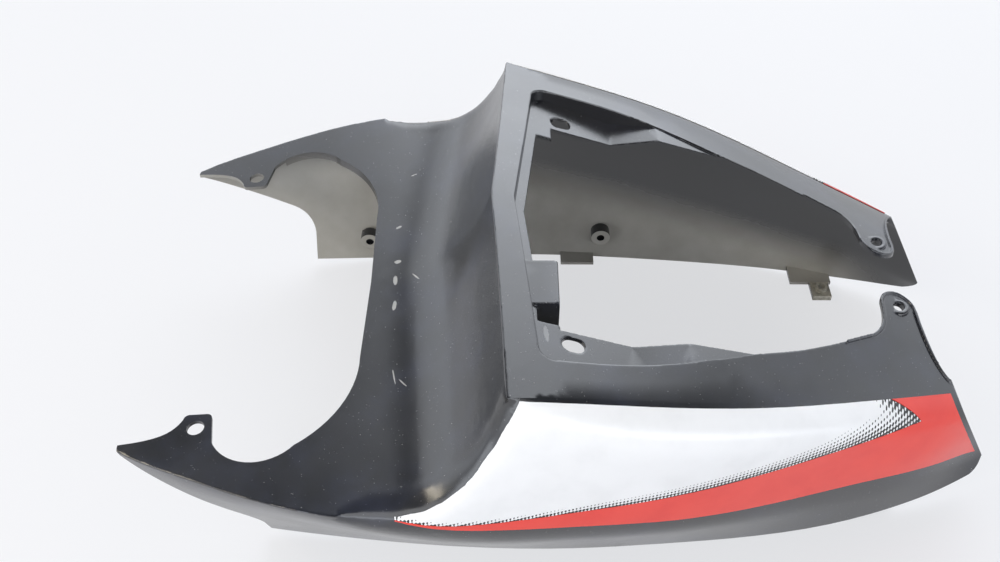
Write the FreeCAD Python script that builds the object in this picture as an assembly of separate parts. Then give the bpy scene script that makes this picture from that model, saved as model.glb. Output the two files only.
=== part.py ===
import FreeCAD, Part
import os

V = FreeCAD.Vector

# Motorcycle tail fairing: one moulded shell with decals on its two sides and
# a clip nut on each tail tab. Millimetres, +X to the tail, +Y to the right,
# +Z up. The lower edges rest on the floor at Z = 0.

# Wall and edges of the moulding
WALL = 3.0
LIP_DEPTH = 7.0
LIP_THICK = 2.6

# Side walls. Each row is one cross-section from nose to tail: place along X,
# half width of the foot, half width and height of the waist, half width and
# height of the shoulder edge, swell of the shoulder, and rise of the roof.
SECTIONS = (
    (-335.0, 108.0, 130.0, 112.0, 105.0, 212.0, 4.0, 8.0),
    (-268.0, 135.0, 171.5, 117.0, 145.0, 212.0, 4.0, 8.0),
    (-201.0, 144.5, 199.0, 121.0, 174.0, 211.0, 4.0, 8.0),
    (-134.0, 152.0, 212.0, 115.0, 190.0, 209.0, 4.0, 8.0),
    (-67.0, 156.8, 204.5, 90.0, 181.5, 199.0, 6.0, 8.0),
    (0.0, 157.2, 190.5, 74.5, 168.8, 184.0, 18.0, 8.0),
    (67.0, 153.0, 178.5, 66.0, 157.0, 167.0, 24.0, 9.0),
    (134.0, 146.5, 161.5, 60.5, 139.5, 147.0, 24.0, 11.0),
    (201.0, 135.0, 141.0, 57.0, 115.8, 125.0, 22.0, 14.0),
    (268.0, 115.5, 115.0, 48.0, 91.5, 103.0, 17.0, 14.0),
    (335.0, 104.0, 87.0, 37.0, 68.0, 79.0, 14.0, 14.0),
)
SKIRT = 20.0
BELLY = 1.5
WAIST_TURN = 16.0
SHOULDER_DROP = 7.0

# Seat hump: arm tops, the hollow face behind the rider, and the sharp crest
CREST_X = -57.0
CREST_Z = 206.0
NOTCH_X = -150.0
ARM_TOP_Z = 117.0
ARM_FALL = 20.0
HUMP_TOE = 38.0
HUMP_HEEL = 1.0
CREST_LEAN = 19.0
CREST_DROP = 54.0
CREST_RUN = 15.0
HUMP_SWEEP = 0.0775

# Rider's notch in the plan view
NOTCH_FLAT = 75.0
NOTCH_HALF = 163.5
NOTCH_WIDE_X = -221.0
NOTCH_END_X = -245.0
NOTCH_END_Y = 146.0
NOTCH_BACK_X = -151.5
NOTCH_SIDE_X = -160.0
NOTCH_SIDE_Y = 118.0
NOTCH_TURN_X = -188.7
NOTCH_TURN_Y = 151.3
ARM_WAIST_Y = 142.0
ARM_WAIST_X = -276.5
NOSE_IN_X = -290.0
NOSE_IN_Y = 143.5
NOSE_OUT_Y = 146.0

# Mounting tabs at the end of the arms
TAB_X = -258.5
TAB_WIDTH = 20.0
TAB_REACH = 121.5
TAB_CORNER = 4.0
TAB_HOLE_Y = 133.0
TAB_HOLE = 12.0

# Side outline: nose, arm, floor line and tail
NOSE_X = -310.0
NOSE_Z = 100.0
ARM_LOW_X = -240.0
ARM_LOW_Z = 56.0
ARM_SAG = 3.0
HEEL_X = -219.5
HEEL_LOW_Z = 6.0
HEEL_Z = 30.0
HEEL_TURN_X = -221.5
HEEL_TURN_Z = 47.0
SOLE_X = -60.0
KEEL_X = 100.0
KEEL_RUN = 90.0
TAIL_SWEEP_X = 262.0
TAIL_SWEEP_Z = 5.0
TAIL_ROUND_X = 302.0
TAIL_ROUND_Z = 15.0
TAIL_BOW_X = 307.6
TAIL_BOW_Z = 20.5
TAIL_X = 310.0
TAIL_LOW_Z = 28.0
TAIL_TOP_X = 272.0
TAIL_TOP_Z = 97.5

# Passenger-seat opening in the plan view
OPEN_FRONT_X = -42.5
OPEN_CORNER_X = -27.0
OPEN_HALF = 143.0
OPEN_TAPER_X = 122.0
OPEN_TAPER_Y = 106.0
OPEN_NECK_X = 210.0
OPEN_NECK_Y = 66.3
OPEN_SIDE = ((50.0, 138.0), (80.0, 123.0))
NECK_SIDE = ((165.0, 92.0), (188.0, 77.5))
CORNER_ROUND = 10.0
RIM = 7.0

# Recessed ledges inside the opening
LEDGE_INNER = 108.0
LEDGE_TIP_Y = 95.0
LEDGE_TIP_X = -13.0
LEDGE_FRONT_Z = 189.5
LEDGE_DIP_X = 35.0
LEDGE_DIP_Z = 163.5
LEDGE_END_X = 72.0
LEDGE_END_Z = 167.7
LEDGE_TAIL_Z = 153.0
LEDGE_HOLE_X = -5.0
LEDGE_HOLE_Y = 118.3
LEDGE_HOLE_LONG = 15.0
LEDGE_HOLE_WIDE = 12.0

# Raised catch box on the left of the opening's front, and its clear gap
CATCH_IN = 50.0
CATCH_OUT = 91.0
CATCH_CLEAR = 13.0
CATCH_TOP_Z = 187.0
CATCH_DEEP = 34.0
CATCH_END_X = -13.0
CATCH_ROUND = 1.5

# Ears at the tail
EAR_X = 238.0
EAR_Y = 34.6
EAR_R = 14.3
EAR_HOLE = 7.5
EAR_COLLAR = 15.5
EAR_COLLAR_RISE = 1.2
EAR_ROOT = (219.0, 60.0)
EAR_ROOT_Y = 50.0
EAR_BACK_Y = 62.0
EAR_BACK_BOW = 1.0
STRIP_BOW_X = 259.0
STRIP_BOW_Y = 80.0
STRIP_X = 266.0
STRIP_Y = 86.0
BEAD = 2.4
BEAD_RISE = 1.4
BEAD_FROM_X = 188.0

# Screw bosses, lower tabs and the dish in the side wall
BOSS_Z = 22.0
BOSS_XS = (-171.0, 39.0)
BOSS_D = 17.0
BOSS_BORE = 7.0
BOSS_LONG = 9.0
FOOT_TAB_X = 18.0
FOOT_TAB_LONG = 30.0
FOOT_TAB_IN = 13.0
TAIL_TAB_X = 225.0
TAIL_TAB_LONG = 36.0
TAIL_TAB_IN = 10.0
TAIL_TAB_Z = 5.0
TONGUE_X = 232.0
TONGUE_WIDE = 17.0
TONGUE_LONG = 18.0

# Clip nuts on the tail tabs
CLIP_WIDE = 16.0
CLIP_LONG = 17.0
CLIP_SHEET = 0.9
CLIP_GAP = 0.3
CLIP_HOLE = 6.0
CLIP_NUT = 10.0
CLIP_NUT_HIGH = 4.0

# Decal films on the sides: white field above, red field below
FILM = 0.3
FILM_GAP = 0.3
FIELD_GAP = 0.3
DECAL_BACK = 3.0
DECAL_TOP_X = -31.0
DECAL_TURN_X = -64.0
DECAL_TURN_Z = 158.0
DECAL_EDGE = 0.8
RED_TIP = (-118.0, 113.0)
RED_TOP = ((-63.0, 100.0), (23.0, 96.0), (110.0, 103.0), (238.0, 102.5))
RED_HOOK = ((231.0, 112.0), (207.0, 123.5))
RED_LOW = ((-63.0, 94.5), (36.0, 74.0), (142.0, 64.0), (217.0, 59.0), (303.0, 38.0))
RED_INSET = 4.0
SPAN = 300.0


def side_profile(row, inset, hand):
    """One side of a section, from under the floor up to the shoulder edge."""
    x, foot, waist, waist_z, top, top_z, swell, crown = row
    lean = (waist - foot) / waist_z
    mid = top + swell
    poles = (
        (foot - lean * SKIRT, -SKIRT),
        (foot + 0.5 * (waist - foot) + BELLY, 0.5 * waist_z),
        (waist, waist_z - WAIST_TURN),
        (waist, waist_z + WAIST_TURN),
        (0.45 * waist + 0.55 * mid, 0.4 * waist_z + 0.6 * top_z),
        (mid, top_z - SHOULDER_DROP - inset),
        (top, top_z - inset),
    )
    points = [V(x, hand * (y - inset), z) for y, z in poles]
    curve = Part.BSplineCurve()
    curve.buildFromPolesMultsKnots(points, (4, 1, 1, 1, 4), (0, 1, 2, 3, 4), False, 3)
    return curve.toShape()


def roof_profile(row, inset):
    x, top, top_z, crown = row[0], row[4] - inset, row[5] - inset, row[7]
    return bezier((x, -top, top_z), (x, 0, top_z + 2 * crown), (x, top, top_z))


def bezier(*points):
    curve = Part.BezierCurve()
    curve.setPoles([V(*p) for p in points])
    return curve.toShape()


def line(a, b):
    return Part.makeLine(V(*a), V(*b))


def arc(a, b, c):
    return Part.Arc(V(*a), V(*b), V(*c)).toShape()


def joint(a, b):
    """Floor line between the lower ends of two side profiles."""
    return Part.makeLine(a.Vertexes[0].Point, b.Vertexes[0].Point)


def body(inset):
    """The whole closed form, drawn in by the inset."""
    rings = []
    for row in SECTIONS:
        left = side_profile(row, inset, -1)
        right = side_profile(row, inset, 1)
        rings.append(Part.Wire([left, roof_profile(row, inset), right, joint(right, left)]))
    return Part.makeLoft(rings, True, False)


def skin():
    """The thin wall of sides and roof, open below and at both ends."""
    rings = []
    for row in SECTIONS:
        left, right = side_profile(row, 0.0, -1), side_profile(row, 0.0, 1)
        left_in, right_in = side_profile(row, WALL, -1), side_profile(row, WALL, 1)
        outside = [left, roof_profile(row, 0.0), right]
        inside = [right_in, roof_profile(row, WALL), left_in]
        rings.append(Part.Wire(outside + [joint(right, right_in)] + inside + [joint(left_in, left)]))
    return Part.makeLoft(rings, True, False)


def hump(drop):
    """Everything above the arms and ahead of the crest, lowered by drop."""
    nose = NOSE_X - 60
    high = CREST_Z + 60
    poles = (
        (nose, 0, ARM_TOP_Z - ARM_FALL - drop),
        (0.5 * (nose + NOTCH_X), 0, ARM_TOP_Z - 0.3 * ARM_FALL - drop),
        (NOTCH_X, 0, ARM_TOP_Z - drop),
        (NOTCH_X + HUMP_TOE, 0, ARM_TOP_Z + HUMP_HEEL - drop),
        (CREST_X - CREST_LEAN + 0.8 * drop, 0, CREST_Z - CREST_DROP - 0.6 * drop),
        (CREST_X + 0.94 * drop, 0, CREST_Z - 0.34 * drop),
        (CREST_X + CREST_RUN + 0.94 * drop, 0, high),
    )
    curve = Part.BSplineCurve()
    knots = (0, 2, 3, 4, 5)
    curve.buildFromPolesMultsKnots([V(*p) for p in poles], (4, 1, 1, 1, 4), knots, False, 3)
    start, end = curve.StartPoint, curve.EndPoint
    corner = V(nose, 0, high)
    loop = [curve.toShape(), Part.makeLine(end, corner), Part.makeLine(corner, start)]
    face = Part.Face(Part.Wire(loop))
    halves = [face.extrude(V(HUMP_SWEEP * SPAN, hand * SPAN, 0)) for hand in (-1, 1)]
    return halves[0].fuse(halves[1])


def prism(edges, low, high):
    """A plan outline drawn for the right half, mirrored and stood up."""
    mirrored = [e.mirror(V(0, 0, 0), V(0, 1, 0)) for e in edges]
    ring = Part.Wire(Part.__sortEdges__(edges + mirrored))
    solid = Part.Face(ring).extrude(V(0, 0, high - low))
    solid.translate(V(0, 0, low))
    return solid


def across(edges):
    """A side outline drawn at Y = 0, carried through both sides."""
    face = Part.Face(Part.Wire(Part.__sortEdges__(edges)))
    face.translate(V(0, -SPAN, 0))
    return face.extrude(V(0, 2 * SPAN, 0))


def notch(grow):
    """Plan of the rider's notch with the two mounting tabs left standing."""
    g = grow
    rear = TAB_X + 0.5 * TAB_WIDTH
    fore = TAB_X - 0.5 * TAB_WIDTH
    turn = (NOTCH_TURN_X, NOTCH_TURN_Y + 0.7 * g, 0)
    back = (NOTCH_BACK_X + g, NOTCH_FLAT, 0)
    side = (NOTCH_SIDE_X + 0.7 * g, NOTCH_SIDE_Y + 0.7 * g, 0)
    end = (NOTCH_END_X + g, NOTCH_END_Y, 0)
    tip = TAB_REACH + g
    far = NOSE_X - 40
    arm_waist = (ARM_WAIST_X, ARM_WAIST_Y, 0)
    r = TAB_CORNER
    q = 0.29 * r
    return [
        line((NOTCH_X + g, 0, 0), back),
        arc(back, side, turn),
        arc(turn, (NOTCH_WIDE_X, NOTCH_HALF + g, 0), end),
        line(end, (rear - g, tip + r, 0)),
        arc((rear - g, tip + r, 0), (rear - g - q, tip + q, 0), (rear - g - r, tip, 0)),
        line((rear - g - r, tip, 0), (fore + g + r, tip, 0)),
        arc((fore + g + r, tip, 0), (fore + g + q, tip + q, 0), (fore + g, tip + r, 0)),
        bezier((fore + g, tip + r, 0), arm_waist, (NOSE_IN_X, NOSE_IN_Y, 0), (far, NOSE_OUT_Y, 0)),
        line((far, NOSE_OUT_Y, 0), (far, 0, 0)),
    ]


def grown(points, g):
    """Plan points moved outwards by g."""
    return [(x, y + g, 0) for x, y in points]


def opening_rear(g):
    """Plan of the opening from the tapered strip round the ear to the tail."""
    side = EAR_R - g
    far = TAIL_X + 30
    taper = (OPEN_TAPER_X, OPEN_TAPER_Y + g, 0)
    neck = (OPEN_NECK_X, OPEN_NECK_Y + g, 0)
    ear = (EAR_X - side, EAR_Y, 0)
    ear_back = (EAR_X + side, EAR_Y, 0)
    bow = (EAR_X + side + EAR_BACK_BOW, EAR_BACK_Y, 0)
    strip = (STRIP_X, STRIP_Y + g, 0)
    return [
        bezier(taper, *grown(NECK_SIDE, g), neck),
        bezier(neck, (EAR_ROOT[0] + g, EAR_ROOT[1] + g, 0), (EAR_X - side, EAR_ROOT_Y, 0), ear),
        arc(ear, (EAR_X, EAR_Y - side, 0), ear_back),
        bezier(ear_back, bow, (STRIP_BOW_X - g, STRIP_BOW_Y, 0), strip),
        line(strip, (far, STRIP_Y + g, 0)),
        line((far, STRIP_Y + g, 0), (far, 0, 0)),
    ]


def opening_top(g):
    """Plan of the opening at the roof."""
    front = (OPEN_FRONT_X - g, 0, 0)
    r = CORNER_ROUND
    slope = (OPEN_CORNER_X - OPEN_FRONT_X) / OPEN_HALF
    a = (OPEN_CORNER_X - slope * r - g, OPEN_HALF - r, 0)
    b = (OPEN_CORNER_X + r, OPEN_HALF + g, 0)
    m = (OPEN_CORNER_X + 0.25 * r - 0.7 * g, OPEN_HALF - 0.25 * r + 0.7 * g, 0)
    return [
        line(front, a),
        arc(a, m, b),
        bezier(b, *grown(OPEN_SIDE, g), (OPEN_TAPER_X, OPEN_TAPER_Y + g, 0)),
    ] + opening_rear(g)


def opening_ledge():
    """Plan of the opening between the free edges of the ledges."""
    slope = (OPEN_CORNER_X - OPEN_FRONT_X) / OPEN_HALF
    front = (OPEN_FRONT_X + RIM, 0, 0)
    tip = (OPEN_FRONT_X + RIM + slope * LEDGE_TIP_Y, LEDGE_TIP_Y, 0)
    knee = (LEDGE_TIP_X, LEDGE_TIP_Y, 0)
    step = (LEDGE_TIP_X, LEDGE_INNER, 0)
    dip = (LEDGE_DIP_X, LEDGE_INNER, 0)
    end = (LEDGE_END_X, LEDGE_INNER + 0.5, 0)
    taper = (OPEN_TAPER_X, OPEN_TAPER_Y, 0)
    chain = [front, tip, knee, step, dip, end, taper]
    return [line(p, q) for p, q in zip(chain, chain[1:])] + opening_rear(0.0)


def ledge_line(down):
    """Side view of the ledge, from the front rim to where it meets the roof."""
    slope = (LEDGE_DIP_Z - LEDGE_FRONT_Z) / (LEDGE_DIP_X - OPEN_FRONT_X)
    start = OPEN_FRONT_X - 15
    return [
        (start, 0, LEDGE_FRONT_Z - 15 * slope - down),
        (LEDGE_DIP_X, 0, LEDGE_DIP_Z - down),
        (LEDGE_END_X, 0, LEDGE_END_Z - down),
        (OPEN_TAPER_X + 1, 0, LEDGE_TAIL_Z - down),
    ]


def between(upper, lower):
    chain = upper + lower[::-1] + upper[:1]
    return across([line(p, q) for p, q in zip(chain, chain[1:])])


def box(x0, x1, y0, y1, z0, z1):
    return Part.makeBox(x1 - x0, y1 - y0, z1 - z0, V(x0, y0, z0))


def post(x, y, z, diameter, height):
    return Part.makeCylinder(0.5 * diameter, height, V(x, y, z))


def both(make):
    """The same feature on the left and on the right."""
    return [make(-1), make(1)]


# Tools used more than once
above = CREST_Z + 50
low = TAIL_TOP_Z - 1
form = body(0.0)
core = body(0.5 * WALL)
hump_top = hump(0.0)
notch_low = ARM_TOP_Z - ARM_FALL - 1.5 * LIP_DEPTH
cut_notch = prism(notch(0.0), notch_low, above)
cut_ledge = prism(opening_ledge(), low, above)


def wall_at(x, z):
    """Half width of the outer wall at one place."""
    probe = form.common(Part.makeLine(V(x, 0, z), V(x, SPAN, z)))
    return max(v.Y for v in probe.Vertexes)


def roof_at(x, y):
    """Height of the roof at one place."""
    probe = form.common(Part.makeLine(V(x, y, 0), V(x, y, above)))
    return max(v.Z for v in probe.Vertexes)


# The moulded shell: thin sides and roof, with the hollow seat hump let in
sheet = hump(WALL).cut(hump(-WALL)).common(core)
shell = skin().fuse(sheet)

# Turned-down lip round the rider's notch, filled here and cut free below
lip_plan = prism(notch(LIP_THICK), notch_low, above)
lip_zone = box(NOTCH_END_X, CREST_X, -SPAN, SPAN, 0, above)
lip = hump(LIP_DEPTH).cut(hump(0.5 * WALL)).common(lip_plan).common(lip_zone).common(core)
shell = shell.fuse(lip)
shell = shell.cut(hump_top)

# Side outline: sloping arm, heel arc, floor line, rounded tail and its edge
rake = (TAIL_TOP_X - TAIL_X) / (TAIL_TOP_Z - TAIL_LOW_Z)
peak = (TAIL_X + rake * (above - TAIL_LOW_Z), 0, above)
nose = (NOSE_X, 0, NOSE_Z)
arm = (ARM_LOW_X, 0, ARM_LOW_Z)
sag = (0.5 * (NOSE_X + ARM_LOW_X), 0, 0.5 * (NOSE_Z + ARM_LOW_Z) - ARM_SAG)
heel = (HEEL_X, 0, HEEL_LOW_Z)
sole = (SOLE_X, 0, 0)
keel = (KEEL_X, 0, 0)
rise = (TAIL_ROUND_X, 0, TAIL_ROUND_Z)
tail = (TAIL_X, 0, TAIL_LOW_Z)
silhouette = across([
    bezier(nose, sag, arm),
    bezier(arm, (HEEL_TURN_X, 0, HEEL_TURN_Z), (HEEL_X, 0, HEEL_Z)),
    line((HEEL_X, 0, HEEL_Z), heel),
    bezier(heel, (0.5 * (HEEL_X + SOLE_X), 0, 0), sole),
    line(sole, keel),
    bezier(keel, (KEEL_X + KEEL_RUN, 0, 0), (TAIL_SWEEP_X, 0, TAIL_SWEEP_Z), rise),
    arc(rise, (TAIL_BOW_X, 0, TAIL_BOW_Z), tail),
    line(tail, peak),
    line(peak, (NOSE_X, 0, above)),
    line((NOSE_X, 0, above), nose),
])
shell = shell.common(silhouette)

# Passenger-seat opening: a block let in under the roof becomes the sunken
# walls and ledges once the opening is cut through it
roof_line = [(p[0], 0, above) for p in ledge_line(0.0)]
block = prism(opening_top(WALL), low, above).common(between(roof_line, ledge_line(WALL))).common(core)
shell = shell.fuse(block)
bead = prism(opening_top(BEAD), low, above).common(body(-BEAD_RISE)).cut(core)
bead = bead.common(box(BEAD_FROM_X, TAIL_X, -SPAN, SPAN, 0, above)).common(silhouette)
shell = shell.fuse(bead)
shell = shell.cut(cut_notch)
shell = shell.cut(prism(opening_top(0.0), low, above).common(between(roof_line, ledge_line(0.0))))
shell = shell.cut(cut_ledge)

# Catch box on the left of the opening, open below, with its gap to the ledge
front = OPEN_FRONT_X + 4.5
clear = (front + RIM + 3, CATCH_END_X + 4, -CATCH_OUT - CATCH_CLEAR, -CATCH_OUT, low, above)
shell = shell.cut(box(*clear))
catch_low = CATCH_TOP_Z - CATCH_DEEP
catch = box(front, CATCH_END_X, -CATCH_OUT, -CATCH_IN, catch_low, CATCH_TOP_Z)
hollow = (front + WALL, CATCH_END_X - WALL, WALL - CATCH_OUT, -CATCH_IN - WALL, low, CATCH_TOP_Z - WALL)
catch = catch.cut(box(*hollow))
rim = [e for e in catch.Edges if e.BoundBox.ZMin > CATCH_TOP_Z - 0.1]
catch = catch.makeFillet(CATCH_ROUND, [e for e in rim if e.BoundBox.XMin > front + 0.1])
shell = shell.fuse(catch)

# Collars round the ear holes
ear_z = roof_at(EAR_X, EAR_Y)
collar_low = ear_z - 0.7 * WALL
collar_high = WALL * 0.7 + EAR_COLLAR_RISE
shell = shell.fuse(both(lambda h: post(EAR_X, h * EAR_Y, collar_low, EAR_COLLAR, collar_high)))

# Screw bosses inside the side walls
def boss(x, hand):
    y = wall_at(x, BOSS_Z)
    start = V(x, hand * (y - WALL - BOSS_LONG), BOSS_Z)
    return Part.makeCylinder(0.5 * BOSS_D, BOSS_LONG + 0.5 * WALL, start, V(0, hand, 0)).common(core)


def bore(x, hand):
    y = wall_at(x, BOSS_Z)
    start = V(x, hand * (y - WALL - BOSS_LONG - 1), BOSS_Z)
    return Part.makeCylinder(0.5 * BOSS_BORE, BOSS_LONG + 1, start, V(0, hand, 0))


# Tabs turned inwards along the lower edge
def foot_tab(hand):
    y = wall_at(FOOT_TAB_X, 0.5 * WALL)
    edge = sorted((hand * (y - 0.5 * WALL), hand * (y - WALL - FOOT_TAB_IN)))
    return box(FOOT_TAB_X - 0.5 * FOOT_TAB_LONG, FOOT_TAB_X + 0.5 * FOOT_TAB_LONG, *edge, 0, WALL)


tab_x0 = TAIL_TAB_X - 0.5 * TAIL_TAB_LONG
tab_x1 = TAIL_TAB_X + 0.5 * TAIL_TAB_LONG
tab_in = wall_at(tab_x1, TAIL_TAB_Z) - WALL - TAIL_TAB_IN
tongue_in = tab_in - TONGUE_LONG
tab_high = TAIL_TAB_Z + WALL


def tail_tab(hand):
    root = wall_at(tab_x0, TAIL_TAB_Z + WALL) - 0.5 * WALL
    turned = box(tab_x0, tab_x1, tab_in, root, TAIL_TAB_Z, tab_high).common(core)
    x0, x1 = TONGUE_X - 0.5 * TONGUE_WIDE, TONGUE_X + 0.5 * TONGUE_WIDE
    tab = turned.fuse(box(x0, x1, tongue_in, tab_in + WALL, TAIL_TAB_Z, tab_high)).removeSplitter()
    return tab if hand > 0 else tab.mirror(V(0, 0, 0), V(0, 1, 0))


shell = shell.fuse(both(foot_tab) + both(tail_tab))
for x in BOSS_XS:
    shell = shell.fuse(both(lambda h: boss(x, h)))
    shell = shell.cut(both(lambda h: bore(x, h))[0])
    shell = shell.cut(both(lambda h: bore(x, h))[1])

# Holes: arm tabs, ledge slots, ears and tail tongues
clip_y = tongue_in + 0.5 * CLIP_LONG


def ledge_slot(hand):
    half = 0.5 * LEDGE_HOLE_WIDE
    run = 0.5 * (LEDGE_HOLE_LONG - LEDGE_HOLE_WIDE)
    x, y = LEDGE_HOLE_X, hand * LEDGE_HOLE_Y
    ring = Part.Wire([
        line((x - run, y - half, low), (x + run, y - half, low)),
        arc((x + run, y - half, low), (x + run + half, y, low), (x + run, y + half, low)),
        line((x + run, y + half, low), (x - run, y + half, low)),
        arc((x - run, y + half, low), (x - run - half, y, low), (x - run, y - half, low)),
    ])
    return Part.Face(ring).extrude(V(0, 0, above - low))


for hand in (-1, 1):
    shell = shell.cut(post(TAB_X, hand * TAB_HOLE_Y, 0.5 * ARM_TOP_Z, TAB_HOLE, above))
    shell = shell.cut(post(EAR_X, hand * EAR_Y, low, EAR_HOLE, above))
    shell = shell.cut(post(TONGUE_X, hand * clip_y, -1, CLIP_HOLE + 1.0, tab_high + 2))
    shell = shell.cut(ledge_slot(hand))


# Clip nuts: a folded spring sheet over each tongue, with its round nut
def clip(hand):
    x0, x1 = TONGUE_X - 0.5 * CLIP_WIDE, TONGUE_X + 0.5 * CLIP_WIDE
    slot_low = TAIL_TAB_Z - CLIP_GAP
    slot_high = tab_high + CLIP_GAP
    inside = tongue_in - CLIP_GAP
    end = tongue_in + CLIP_LONG
    fold = box(x0, x1, inside - CLIP_SHEET, end, slot_low - CLIP_SHEET, slot_high + CLIP_SHEET)
    bend = [e for e in fold.Edges if e.BoundBox.YMax < inside and e.BoundBox.XLength > 0.5 * CLIP_WIDE]
    fold = fold.makeFillet(CLIP_SHEET, bend)
    fold = fold.cut(box(x0 - 1, x1 + 1, inside, end + 1, slot_low, slot_high))
    nut = post(TONGUE_X, clip_y, slot_high + 0.5 * CLIP_SHEET, CLIP_NUT, CLIP_NUT_HIGH)
    fold = fold.fuse(nut).cut(post(TONGUE_X, clip_y, -1, CLIP_HOLE, 50))
    return fold if hand > 0 else fold.mirror(V(0, 0, 0), V(0, 1, 0))


# Decal films: a thin layer over each side, trimmed to the two colour fields
def film():
    rings = []
    for row in SECTIONS:
        near = side_profile(row, -FILM_GAP, 1)
        far = side_profile(row, -FILM_GAP - FILM, 1)
        top = Part.makeLine(near.Vertexes[1].Point, far.Vertexes[1].Point)
        rings.append(Part.Wire([near, top, far, joint(far, near)]))
    return Part.makeLoft(rings, True, False)


def spline(points, shift):
    curve = Part.BSplineCurve()
    curve.interpolate([V(x, 0, z + shift) for x, z in points])
    return curve.toShape()


def ends(edge):
    return edge.Vertexes[0].Point, edge.Vertexes[1].Point


shoulder = spline([(row[0], row[5]) for row in SECTIONS[3:]], -DECAL_EDGE)
lead, back = ends(shoulder)
trail = V(back.x, 0, -SKIRT)
start = V(lead.x, 0, -SKIRT)
below_roof = across([
    shoulder,
    Part.makeLine(back, trail),
    Part.makeLine(trail, start),
    Part.makeLine(start, lead),
])
heel_tail = V(TAIL_X - RED_INSET - rake * TAIL_LOW_Z, 0, 0)
head_tail = V(peak[0] - RED_INSET, 0, above)
ahead_of_tail = across([
    Part.makeLine(heel_tail, head_tail),
    Part.makeLine(head_tail, V(NOSE_X, 0, above)),
    Part.makeLine(V(NOSE_X, 0, above), V(NOSE_X, 0, 0)),
    Part.makeLine(V(NOSE_X, 0, 0), heel_tail),
])
decal_front = hump_top.copy()
decal_front.translate(V(DECAL_BACK, 0, 0))
corner_low = (DECAL_TURN_X, 0, DECAL_TURN_Z)
corner_top = (DECAL_TOP_X, 0, CREST_Z)
decal_corner = across([
    line(corner_low, corner_top),
    line(corner_top, (NOTCH_X, 0, CREST_Z)),
    line((NOTCH_X, 0, CREST_Z), (NOTCH_X, 0, DECAL_TURN_Z)),
    line((NOTCH_X, 0, DECAL_TURN_Z), corner_low),
])
film_zone = film().common(below_roof).common(ahead_of_tail)
film_zone = film_zone.cut(decal_front).cut(decal_corner)


def field_line(shift):
    """Border between the fields: along the side, then hooked up to the roof."""
    back = 2 * shift
    (cx, cz), (hx, hz), (tx, tz) = RED_TOP[-1], RED_HOOK[0], RED_HOOK[1]
    run = spline((RED_TIP,) + RED_TOP[:-1] + ((cx - back, cz),), shift)
    corner = (cx - back, 0, cz + shift)
    hook = bezier(corner, (hx - back, 0, hz), (tx - back, 0, tz))
    return run, hook


def white_zone():
    run, hook = field_line(0.5 * FIELD_GAP)
    first, last = ends(run)[0], ends(hook)[1]
    high_last, high_first = V(last.x, 0, above), V(first.x - 10, 0, above)
    return across([
        run,
        hook,
        Part.makeLine(last, high_last),
        Part.makeLine(high_last, high_first),
        Part.makeLine(high_first, first),
    ])


def red_zone():
    run, hook = field_line(-0.5 * FIELD_GAP)
    first, last = ends(run)[0], ends(hook)[1]
    under = spline((RED_TIP,) + RED_LOW, -0.5 * FIELD_GAP - 1.0)
    a, b = ends(under)
    high_last, high_back = V(last.x, 0, above), V(b.x, 0, above)
    return across([
        run,
        hook,
        Part.makeLine(last, high_last),
        Part.makeLine(high_last, high_back),
        Part.makeLine(high_back, b),
        under,
        Part.makeLine(a, first),
    ])


white = film_zone.common(white_zone())
red = film_zone.common(red_zone())


def mirrored(shape):
    return shape.mirror(V(0, 0, 0), V(0, 1, 0))


pieces = {
    "fairing_shell": shell,
    "right_white_decal": white,
    "left_white_decal": mirrored(white),
    "right_red_decal": red,
    "left_red_decal": mirrored(red),
    "right_clip_nut": clip(1),
    "left_clip_nut": clip(-1),
}
os.makedirs("parts", exist_ok=True)
for name, shape in pieces.items():
    solid = shape.Solids[0] if len(shape.Solids) == 1 else shape
    solid.exportStep("parts/" + name + ".step")
    print(name, solid.isValid(), len(solid.Solids), round(solid.Volume, 1))
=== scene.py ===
import math
import bpy
import bmesh
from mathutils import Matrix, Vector, kdtree


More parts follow.
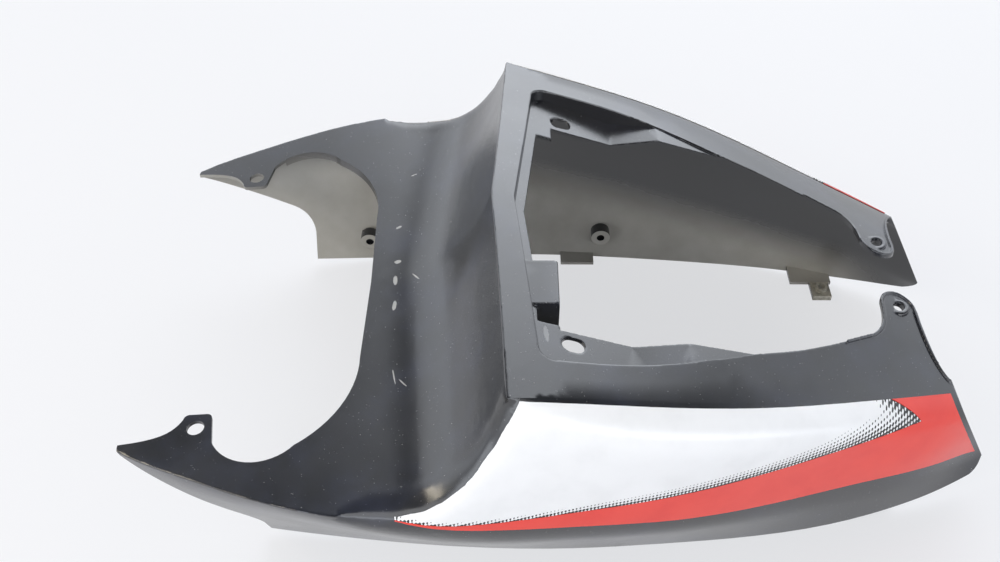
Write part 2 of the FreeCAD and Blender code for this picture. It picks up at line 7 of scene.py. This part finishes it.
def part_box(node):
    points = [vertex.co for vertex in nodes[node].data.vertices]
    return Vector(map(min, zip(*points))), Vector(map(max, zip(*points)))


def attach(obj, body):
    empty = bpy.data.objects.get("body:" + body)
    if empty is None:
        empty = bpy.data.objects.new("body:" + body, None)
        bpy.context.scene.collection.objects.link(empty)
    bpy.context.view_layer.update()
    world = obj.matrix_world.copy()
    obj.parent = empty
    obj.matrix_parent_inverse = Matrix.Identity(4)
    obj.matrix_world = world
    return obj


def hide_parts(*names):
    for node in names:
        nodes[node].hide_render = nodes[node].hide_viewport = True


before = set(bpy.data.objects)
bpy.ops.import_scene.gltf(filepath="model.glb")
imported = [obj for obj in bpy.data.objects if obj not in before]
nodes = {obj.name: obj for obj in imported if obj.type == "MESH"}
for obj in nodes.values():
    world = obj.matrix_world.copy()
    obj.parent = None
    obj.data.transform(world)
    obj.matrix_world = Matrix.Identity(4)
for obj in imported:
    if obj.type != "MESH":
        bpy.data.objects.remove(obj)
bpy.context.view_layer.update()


# The shell is one moulding in black plastic with a fine satin texture.
# Its ridge is softly rounded from the crest's corners down the flanks,
# and its rims and the arms' edges are worn to a small radius.
class Value:
    """A shader socket that takes part in sums."""

    def __init__(self, tree, socket):
        self.tree = tree
        self.socket = socket

    def make(self, kind, inputs=(), out=0, **settings):
        """Adds one node, sets it up, feeds its inputs and gives the output named by out."""
        node = self.tree.nodes.new(kind)
        for key, setting in settings.items():
            setattr(node, key, setting)
        pairs = inputs.items() if isinstance(inputs, dict) else enumerate(inputs)
        for key, given in pairs:
            if isinstance(given, Value):
                self.tree.links.new(given.socket, node.inputs[key])
            else:
                node.inputs[key].default_value = given
        return Value(self.tree, node.outputs[out])

    def math(self, operation, *others):
        return self.make("ShaderNodeMath", (self,) + others, operation=operation)

    def __add__(self, other):
        return self.math("ADD", other)

    def __sub__(self, other):
        return self.math("SUBTRACT", other)

    def __mul__(self, other):
        return self.math("MULTIPLY", other)

    def __truediv__(self, other):
        return self.math("DIVIDE", other)

    def high(self, other):
        return self.math("MAXIMUM", other)

    def ramp(self, start, end):
        """0 at start, 1 at end, smooth between; start may be the larger."""
        names = {"Value": self, "From Min": start, "From Max": end}
        return self.make("ShaderNodeMapRange", names, interpolation_type="SMOOTHSTEP")

    def tint(self, dark, light):
        """Mixes two colours, each a tuple or another Value, by this factor."""
        parts = {0: self, 6: dark, 7: light}
        return self.make("ShaderNodeMix", parts, out=2, data_type="RGBA")

    def xyz(self):
        return [self.make("ShaderNodeSeparateXYZ", (self,), out=k) for k in range(3)]

    def noise(self, scale, detail=4.0, rough=0.55):
        given = {"Vector": self, "Scale": scale, "Detail": detail, "Roughness": rough}
        return self.make("ShaderNodeTexNoise", given)


def rgb(red, green, blue):
    """A colour given as screen values 0 to 255, as the linear values that shaders take."""
    linear = []
    for part in (red / 255, green / 255, blue / 255):
        linear.append(part / 12.92 if part <= 0.04045 else ((part + 0.055) / 1.055) ** 2.4)
    return (*linear, 1.0)


def material(name, **fixed):
    """A new material; fixed values go straight on its shader's sockets."""
    made = bpy.data.materials.new(name)
    made.use_nodes = True
    tree = made.node_tree
    shader = tree.nodes["Principled BSDF"]
    for key, setting in fixed.items():
        shader.inputs[key.replace("_", " ")].default_value = setting
    coords = tree.nodes.new("ShaderNodeTexCoord")
    return made, Value(tree, coords.outputs["Object"]), shader


def plug(value, shader, name):
    value.tree.links.new(value.socket, shader.inputs[name])


def bump(height, strength, distance, shader):
    given = {"Strength": strength, "Distance": distance, "Height": height}
    plug(height.make("ShaderNodeBump", given), shader, "Normal")


MM = 0.001
WELD = 0.01 * MM


def copy_of(node, name):
    """A welded copy of a CAD node's mesh, as a new object that is the active one."""
    made = bpy.data.objects.new(name, nodes[node].data.copy())
    bpy.context.scene.collection.objects.link(made)
    bpy.ops.object.select_all(action="DESELECT")
    made.select_set(True)
    bpy.context.view_layer.objects.active = made
    made.data.materials.clear()
    bpy.ops.object.mode_set(mode="EDIT")
    bpy.ops.mesh.select_all(action="SELECT")
    bpy.ops.mesh.remove_doubles(threshold=WELD)
    bpy.ops.object.mode_set(mode="OBJECT")
    bpy.ops.mesh.customdata_custom_splitnormals_clear()
    return made


def picked(test, kind):
    """Selects the vertices, edges or faces of the piece being edited that pass a test.
    Gives the corners of each chosen edge or face."""
    shape = bmesh.from_edit_mesh(bpy.context.object.data)
    bpy.ops.mesh.select_all(action="DESELECT")
    bpy.ops.mesh.select_mode(type=kind)
    shape.normal_update()
    parts = {"VERT": shape.verts, "EDGE": shape.edges, "FACE": shape.faces}[kind]
    chosen = [part for part in parts if test(part)]
    for part in chosen:
        part.select_set(True)
    corners = [[v.co.copy() for v in part.verts] for part in chosen if kind != "VERT"]
    bmesh.update_edit_mesh(bpy.context.object.data)
    return corners


def middle(edge):
    return (edge.verts[0].co + edge.verts[1].co) / 2


MOST_CUTS = 8


def refine(inside, longest):
    """Splits the edges inside a region until none is longer than asked."""
    for _ in range(MOST_CUTS):
        if not picked(lambda edge: edge.calc_length() > longest and inside(edge), "EDGE"):
            return
        bpy.ops.mesh.subdivide(number_cuts=1)
        bpy.ops.mesh.select_all(action="SELECT")
        bpy.ops.mesh.quads_convert_to_tris()


CUT_MARGIN = 1.3
SOFT_SHARES = (1.0, 0.75, 0.5)
RELAX = 0.5


def soften(test, reach, grain, passes, keep=lambda vert: False):
    """Rounds the edges that pass a test: cuts the faces beside them small, then relaxes them,
    least at the reach's limit. Vertices to keep stay where they are."""
    bpy.ops.object.mode_set(mode="EDIT")
    spots = []
    for start, end in picked(test, "EDGE"):
        steps = max(2, int((end - start).length / grain) + 1)
        spots += [start.lerp(end, (k + 0.5) / steps) for k in range(steps)]
    finder = kdtree.KDTree(len(spots))
    for number, point in enumerate(spots):
        finder.insert(point, number)
    finder.balance()

    def off(point):
        return finder.find(point)[2]

    def inside(edge):
        first, last = (vert.co for vert in edge.verts)
        return min(off(middle(edge)), off(first), off(last)) < CUT_MARGIN * reach

    refine(inside, grain)
    for share in SOFT_SHARES:
        picked(lambda vert: off(vert.co) < share * reach and not keep(vert), "VERT")
        bpy.ops.mesh.vertices_smooth(factor=RELAX, repeat=passes)
    bpy.ops.object.mode_set(mode="OBJECT")


RIDGE_BACK_X = -40 * MM
RIDGE_FRONT_X = -132 * MM
ARM_MIN_Y = 157 * MM
NOSE_MIN_Y = 140 * MM
NOSE_X = -310 * MM
NOSE_FLARE = 0.5
RIDGE_MIN_Y = 150 * MM
RIM_FRONT_X = -70 * MM
RIM_MIN_Z = 100 * MM
ROOF_FRONT_X = -75 * MM
ROOF_MIN_Z = 150 * MM
RIDGE_TURN = 0.35
RIM_TURN = 0.6
LOOKS_DOWN = -0.3
LOOKS_OUT = 0.7
LOOKS_UP = 0.55
LEVEL = 0.85
RIDGE_REACH = 24 * MM
RIDGE_GRAIN = 4.5 * MM
RIDGE_PASSES = 18
RIM_REACH = 2.2 * MM
RIM_GRAIN = 1.3 * MM
CREASE = math.radians(30)

shell = copy_of("fairing_shell", "tail_shell")


def outer_corner(edge, least):
    """A convex edge of two faces that look up or out, turned by more than a least angle."""
    if len(edge.link_faces) != 2 or not edge.is_convex:
        return False
    turned = edge.calc_face_angle() > least
    return turned and all(f.normal.z > LOOKS_DOWN for f in edge.link_faces)


def flank_ridge(edge):
    """The ridge from the crest's corner down each flank of the saddle."""
    place = middle(edge)
    if not RIDGE_FRONT_X < place.x < RIDGE_BACK_X or abs(place.y) < RIDGE_MIN_Y:
        return False
    outward = max(abs(f.normal.y) for f in edge.link_faces)
    return outer_corner(edge, RIDGE_TURN) and outward > LOOKS_OUT


def arm_ridge(edge):
    """The outer top edge of each arm, as far as its nose."""
    place = middle(edge)
    least = min(ARM_MIN_Y, NOSE_MIN_Y + NOSE_FLARE * (place.x - NOSE_X))
    if place.x > RIDGE_FRONT_X or abs(place.y) < least:
        return False
    outward = max(f.normal.y * math.copysign(1, place.y) for f in edge.link_faces)
    return outer_corner(edge, RIDGE_TURN) and outward > LOOKS_OUT


def rim(edge):
    """The crest, the pillion frame's outer shoulder and the top edges of its opening."""
    place = middle(edge)
    if place.x < RIM_FRONT_X or place.z < RIM_MIN_Z or flank_ridge(edge):
        return False
    upward = max(f.normal.z for f in edge.link_faces)
    return outer_corner(edge, RIM_TURN) and upward > LOOKS_UP


def on_roof(vert):
    """On the pillion frame's top, which stays flat right up to the crest."""
    if vert.co.x < ROOF_FRONT_X or vert.co.z < ROOF_MIN_Z:
        return False
    return any(f.normal.z > LEVEL for f in vert.link_faces)


soften(flank_ridge, RIDGE_REACH, RIDGE_GRAIN, RIDGE_PASSES, on_roof)
soften(arm_ridge, RIM_REACH, RIM_GRAIN, 1)
soften(rim, RIM_REACH, RIM_GRAIN, 1)
bpy.ops.object.shade_smooth_by_angle(angle=CREASE)

# Pale scuffs on the saddle: place, half lengths (mm) and turn (degrees) in the plan view.
SCUFFS = (
    (-133.0, 61.0, 1.2, 2.6, -50.0),
    (-131.0, 21.0, 2.6, 2.0, 20.0),
    (-131.6, 0.5, 1.6, 5.0, 4.0),
    (-130.5, -26.0, 1.5, 5.0, -3.0),
    (-116.0, 1.5, 0.6, 5.0, 35.0),
    (-126.0, -95.0, 0.5, 7.0, 12.0),
    (-119.5, -101.0, 0.5, 4.5, 40.0),
    (-124.5, 126.5, 0.7, 2.6, -60.0),
)
# A pale mark on the ledge in the pillion opening's near corner, given the same way.
LEDGE_MARK = (-22.5, -114.0, 1.6, 7.0, 5.0)


def spot(x, y, mark, rag):
    """1 inside a ragged ellipse in the plan view, 0 outside."""
    mark_x, mark_y, half_x, half_y, turn = mark
    cos, sin = math.cos(math.radians(turn)), math.sin(math.radians(turn))
    along, over = x - mark_x * MM, y - mark_y * MM
    a = (along * cos + over * sin) / (half_x * MM)
    b = (over * cos - along * sin) / (half_y * MM)
    return (a * a + b * b + rag).ramp(1.15, 0.75)


DARK_PLASTIC = rgb(22, 23, 27)
PALE_PLASTIC = rgb(32, 33, 38)
# The bluish tint on the outside is partly a fine dusting and partly a painted sheen of
# reflected bluish light.
BLUE_DUST_AND_SHEEN = rgb(110, 120, 160)
SCUFFED = rgb(205, 205, 203)
BROWN_DUST = rgb(168, 163, 152)
GREY_DUST = rgb(196, 194, 188)
# Heights where the grime inside ends and where it is full; above them the walls stay dark as
# painted shade under the roof, along a line that slopes with the roof.
DUST_END_AT_SHADE = 92 * MM
DUST_FULL_BELOW_SHADE = 48 * MM
SHADE_LINE_SLOPE = 0.16
DUST_RAGGED = 0.014
DUST_END_X = 300 * MM
DUST_START_X = 225 * MM
SADDLE_TOP = 140 * MM
SADDLE_LOW = 125 * MM
SMUDGES_PER_M = 13
SPECKS_PER_M = 750
BLOTCHES_PER_M = 11
GRIME_PER_M = 45
RAGS_PER_M = 900
RAGGED = 1.6
DUST_AND_SHEEN_PER_M = 17
DUST_AND_SHEEN_SHARE = 0.1
SPECK_SHARE = 0.25
SCUFF_SHARE = 0.62
LEDGE_MARK_SHARE = 0.35
PLASTIC_ROUGH = 0.2
GRAINS_PER_M = 1500
GRAIN_DEEP = 0.3 * MM
GRAIN_STRENGTH = 0.1


def plastic(name, inside_dust_and_shade):
    """Black moulded plastic: fine grain and smudges, then grey-brown grime low on the inside,
    kept off the upper walls as painted shade under the roof, or scuffs and a bluish
    cloudiness outside that is partly painted sheen.
    """
    made, where, shader = material(name, Specular_IOR_Level=1.0)
    x, y, z = where.xyz()
    smudge = where.noise(SMUDGES_PER_M, 5.0)
    colour = smudge.ramp(0.3, 0.75).tint(DARK_PLASTIC, PALE_PLASTIC)
    rough = smudge.ramp(0.25, 0.8) * 0.08 + PLASTIC_ROUGH
    if inside_dust_and_shade:
        blotch = where.noise(BLOTCHES_PER_M, 6.0, 0.6)
        # Grime lies low on the inner walls; above a line that follows the roof the walls are
        # left dark, as painted shade under the roof.
        height = z + x * SHADE_LINE_SLOPE + blotch * DUST_RAGGED
        dust_below_shade = height.ramp(DUST_END_AT_SHADE, DUST_FULL_BELOW_SHADE) * x.ramp(DUST_END_X, DUST_START_X)
        dust_and_shade = (blotch.ramp(0.1, 0.9) * 0.3 + 0.65) * dust_below_shade
        grime = where.noise(GRIME_PER_M, 5.0).tint(BROWN_DUST, GREY_DUST)
        colour = dust_and_shade.tint(colour, grime)
        rough = rough + dust_and_shade * 0.35
    else:
        rag = (where.noise(RAGS_PER_M, 3.0) - 0.5) * RAGGED
        speck = where.noise(SPECKS_PER_M, 1.0).ramp(0.75, 0.78)
        marks = speck * SPECK_SHARE
        on_saddle = z.ramp(SADDLE_TOP, SADDLE_LOW)
        for mark in SCUFFS:
            marks = marks.high(spot(x, y, mark, rag) * on_saddle * SCUFF_SHARE)
        marks = marks.high(spot(x, y, LEDGE_MARK, rag) * LEDGE_MARK_SHARE)
        # A bluish cloudiness over the outside: partly a fine dusting, partly a painted sheen
        # standing in for reflected bluish light.
        dust_and_sheen = where.noise(DUST_AND_SHEEN_PER_M, 7.0, 0.65).ramp(0.42, 0.8) * DUST_AND_SHEEN_SHARE
        colour = dust_and_sheen.tint(colour, BLUE_DUST_AND_SHEEN)
        colour = marks.tint(colour, SCUFFED)
        rough = rough + marks * 0.3
    plug(colour, shader, "Base Color")
    plug(rough, shader, "Roughness")
    bump(where.noise(GRAINS_PER_M, 2.0), GRAIN_STRENGTH, GRAIN_DEEP, shader)
    return made


shell.data.materials.append(plastic("black_plastic", False))
shell.data.materials.append(plastic("dust_and_shade_inside", True))


FOOT_TAB_Z = 15 * MM
WALL_MIN_Y = 60 * MM
TAB_LEVEL = 0.9
LOOKS_IN = 0.35


def inside_wall(face):
    """A face of the side walls that looks at the part's middle, or the top of a foot tab."""
    place = face.calc_center_median()
    if face.normal.z > TAB_LEVEL and place.z < FOOT_TAB_Z:
        return True
    inward = -face.normal.y * math.copysign(1, place.y)
    return abs(place.y) > WALL_MIN_Y and inward > LOOKS_IN


bpy.ops.object.mode_set(mode="EDIT")
picked(inside_wall, "FACE")
shell.active_material_index = 1
bpy.ops.object.material_slot_assign()
bpy.ops.object.mode_set(mode="OBJECT")
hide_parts("fairing_shell")
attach(shell, "root")


# The films on the side panels are glossy vinyl, white above and red below and behind.
# They are stuck to the wall, so each is laid onto the shell's rounded surface.
# Along the red field the white one is printed with black dots that shrink as they leave it.
FILM_GRAIN = 5 * MM
FILM_LIFT = 0.7 * MM
FILM_THICK = 0.5 * MM
DOT_PITCH = 2.5 * MM
FADE_FRONT = 3.4 * MM
FADE_REAR = 17.0 * MM
FADE_FRONT_X = -118 * MM
FADE_REAR_X = 245 * MM
STEPS_ALONG = 6
INK = rgb(22, 22, 24)
CLEAN_WHITE = rgb(248, 248, 249)
DULL_WHITE = rgb(240, 240, 241)
BRIGHT_RED = rgb(240, 66, 54)
DULL_RED = rgb(232, 58, 48)
FILM_CREASE = math.radians(40)
FILM_OUT = 0.25
STAINS_PER_M = 30
DOTS_CLOSER = 1.05
ROWS_WIDER = 0.85
ROWS_TILT = 0.1
DOT_EDGE = 0.12
WHITE_ROUGH = 0.16
RED_ROUGH = 0.18


def film(node, name, coat):
    """The outer face of a film's solid, laid onto the shell."""
    made = copy_of(node, name)
    side = 1 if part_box(node)[0].y > 0 else -1
    bpy.ops.object.mode_set(mode="EDIT")
    picked(lambda face: face.normal.y * side < FILM_OUT, "FACE")
    bpy.ops.mesh.delete(type="FACE")
    refine(lambda edge: True, FILM_GRAIN)
    bpy.ops.object.mode_set(mode="OBJECT")
    wrap = made.modifiers.new("lay", "SHRINKWRAP")
    wrap.target = shell
    wrap.wrap_method = "NEAREST_SURFACEPOINT"
    wrap.wrap_mode = "ABOVE_SURFACE"
    wrap.offset = FILM_LIFT
    bpy.ops.object.modifier_apply(modifier="lay")
    made.data.materials.append(coat)
    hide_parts(node)
    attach(made, "root")
    return made


def thicken(made):
    """Gives a laid film its thickness, toward the wall."""
    bpy.context.view_layer.objects.active = made
    thick = made.modifiers.new("thick", "SOLIDIFY")
    thick.thickness = FILM_THICK
    thick.offset = -1.0
    bpy.ops.object.modifier_apply(modifier="thick")
    bpy.ops.object.select_all(action="DESELECT")
    made.select_set(True)
    bpy.ops.object.shade_smooth_by_angle(angle=FILM_CREASE)


white, where, shader = material("white_film", Coat_Weight=0.4, Coat_Roughness=0.05)
x, _, z = where.xyz()
stain = where.noise(STAINS_PER_M)
clear = stain.ramp(0.35, 0.8).tint(CLEAN_WHITE, DULL_WHITE)
reach = x.ramp(FADE_FRONT_X, FADE_REAR_X) * (FADE_REAR - FADE_FRONT) + FADE_FRONT
border = clear.make("ShaderNodeAttribute", out=2, attribute_name="from_red")
fade = border / reach
turns = 2 * math.pi / DOT_PITCH
dots = x * (DOTS_CLOSER * turns)
rows = (z * ROWS_WIDER - x * ROWS_TILT) * turns
wave = (dots.math("COSINE") + rows.math("COSINE")) * 0.5
level = fade * 1.5 - 0.5
ink = (wave - level).ramp(-DOT_EDGE, DOT_EDGE) * fade.ramp(1.02, 0.95)
plug(ink.tint(clear, INK), shader, "Base Color")
plug(stain * 0.1 + WHITE_ROUGH, shader, "Roughness")

red, where, shader = material("red_film", Coat_Weight=0.2, Coat_Roughness=0.05)
stain = where.noise(STAINS_PER_M)
plug(stain.ramp(0.35, 0.8).tint(BRIGHT_RED, DULL_RED), shader, "Base Color")
plug(stain * 0.1 + RED_ROUGH, shader, "Roughness")

for hand in ("left", "right"):
    upper = film(hand + "_white_decal", hand + "_white_film", white)
    lower = film(hand + "_red_decal", hand + "_red_film", red)
    ends = [[lower.data.vertices[k].co for k in edge.vertices] for edge in lower.data.edges]
    finder = kdtree.KDTree(STEPS_ALONG * len(ends))
    for start, end in ends:
        for step in range(STEPS_ALONG):
            finder.insert(start.lerp(end, step / STEPS_ALONG), step)
    finder.balance()
    off = upper.data.attributes.new("from_red", "FLOAT", "POINT")
    for vert in upper.data.vertices:
        off.data[vert.index].value = finder.find(vert.co)[2]
    thicken(upper)
    thicken(lower)


# The clip nuts are folded from spring steel, plated, and dulled with a thin film of dirt.
# They are pushed onto the tongues at the tail, and stay as the solids have them.
CLEAN_PLATE = rgb(188, 184, 172)
DIRTY_PLATE = rgb(152, 148, 136)
TARNISH_PER_M = 260
PLATE_ROUGH = 0.3
plate, where, shader = material("plated_steel", Metallic=0.2)
tarnish = where.noise(TARNISH_PER_M)
plug(tarnish.ramp(0.35, 0.7).tint(CLEAN_PLATE, DIRTY_PLATE), shader, "Base Color")
plug(tarnish * 0.3 + PLATE_ROUGH, shader, "Roughness")
for hand in ("left", "right"):
    slots = nodes[hand + "_clip_nut"].data.materials
    slots.clear()
    slots.append(plate)


# The part lies on a pale table. Its glow is for the eye and for reflections alone,
# so it lights nothing, and a soft shadow stays round the part.
TABLE = 8.0
TABLE_COLOUR = rgb(128, 128, 132)
TABLE_GLOW = (0.97, 0.98, 1.0, 1.0)
NO_GLOW = (0.0, 0.0, 0.0, 1.0)
GLOW_STRENGTH = 0.66
bpy.ops.mesh.primitive_plane_add(size=TABLE)
floor = bpy.context.object
floor.name = "floor"
pale, where, shader = material("pale_floor", Roughness=0.6, Emission_Strength=GLOW_STRENGTH)
shader.inputs["Base Color"].default_value = TABLE_COLOUR
path = where.tree.nodes.new("ShaderNodeLightPath")
seen = Value(where.tree, path.outputs["Is Camera Ray"])
for ray in ("Is Glossy Ray", "Is Transmission Ray"):
    seen = seen.high(Value(where.tree, path.outputs[ray]))
plug(seen.tint(NO_GLOW, TABLE_GLOW), shader, "Emission Color")
floor.data.materials.append(pale)

# A bright window stands behind the part, with less bright walls round the table,
# a low bright wall behind the camera and a dark ceiling.
# Each edge below is where its light begins and where it is full, along one direction.
WALL_LIGHT = 1.4
WINDOW_LIGHT = 2.9
WINDOW_EAST = 0.2
WALL_TOP = (0.66, 0.5)
WALL_FRONT = (-0.6, 0.1)
WINDOW_SIDE = (0.5, 0.12)
WINDOW_FOOT = (0.1, 0.45)
WINDOW_HEAD = (0.86, 0.78)
WINDOW_FRONT = (0.2, 0.45)
FRONT_TOP = (0.4, 0.15)
FRONT_BACK = (-0.2, -0.6)
FRONT_LIGHT = 2.9
CEILING_LIGHT = 0.16
SKY_COLOUR = (0.9, 0.94, 1.0, 1.0)
world = bpy.data.worlds.new("studio")
bpy.context.scene.world = world
world.use_nodes = True
sky = world.node_tree.nodes["Background"]
look = world.node_tree.nodes.new("ShaderNodeTexCoord")
east, north, up = Value(world.node_tree, look.outputs["Generated"]).xyz()
wall = up.ramp(*WALL_TOP) * north.ramp(*WALL_FRONT)
window = (east - WINDOW_EAST).math("ABSOLUTE").ramp(*WINDOW_SIDE)
window = window * up.ramp(*WINDOW_FOOT) * up.ramp(*WINDOW_HEAD) * north.ramp(*WINDOW_FRONT)
front = up.ramp(*FRONT_TOP) * north.ramp(*FRONT_BACK) * FRONT_LIGHT
glow = wall * WALL_LIGHT + window * WINDOW_LIGHT + front + CEILING_LIGHT
plug(glow, sky, "Strength")
sky.inputs["Color"].default_value = SKY_COLOUR


def softbox(name, place, aim, wide, tall, watts, tone):
    """A flat lamp at a place, turned to what it aims at; sizes in metres."""
    lamp = bpy.data.lights.new(name, "AREA")
    lamp.shape = "RECTANGLE"
    lamp.size = wide
    lamp.size_y = tall
    lamp.energy = watts
    lamp.color = tone
    holder = bpy.data.objects.new(name, lamp)
    bpy.context.scene.collection.objects.link(holder)
    holder.location = place
    beam = Vector(aim) - Vector(place)
    holder.rotation_euler = beam.to_track_quat("-Z", "Y").to_euler()


NEUTRAL = (1.0, 1.0, 1.0)
WARM = (1.0, 0.9, 0.72)
softbox("front_panel", place=(-0.2, -2.3, 1.7), aim=(0.0, 0.0, 0.1),
        wide=3.2, tall=1.6, watts=25, tone=NEUTRAL)
softbox("ridge_lamp", place=(-1.35, -0.35, 1.2), aim=(-0.1, -0.15, 0.12),
        wide=1.7, tall=0.4, watts=12, tone=WARM)

# The camera stands where the photograph was taken from.
EYE = Vector((-51.5, -606.1, 713.9)) * MM
DOWN = 44.52
YAW = 0.16
ROLL = -0.07
SENSOR = 36.0
LENS = 40.5
shot = bpy.data.cameras.new("photo_view")
shot.sensor_width = SENSOR
shot.lens = LENS
viewer = bpy.data.objects.new("photo_view", shot)
bpy.context.scene.collection.objects.link(viewer)
viewer.location = EYE
viewer.rotation_mode = "XYZ"
viewer.rotation_euler = (math.radians(90 - DOWN), math.radians(ROLL), math.radians(YAW))
bpy.context.scene.camera = viewer
bpy.context.scene.view_settings.view_transform = "Standard"
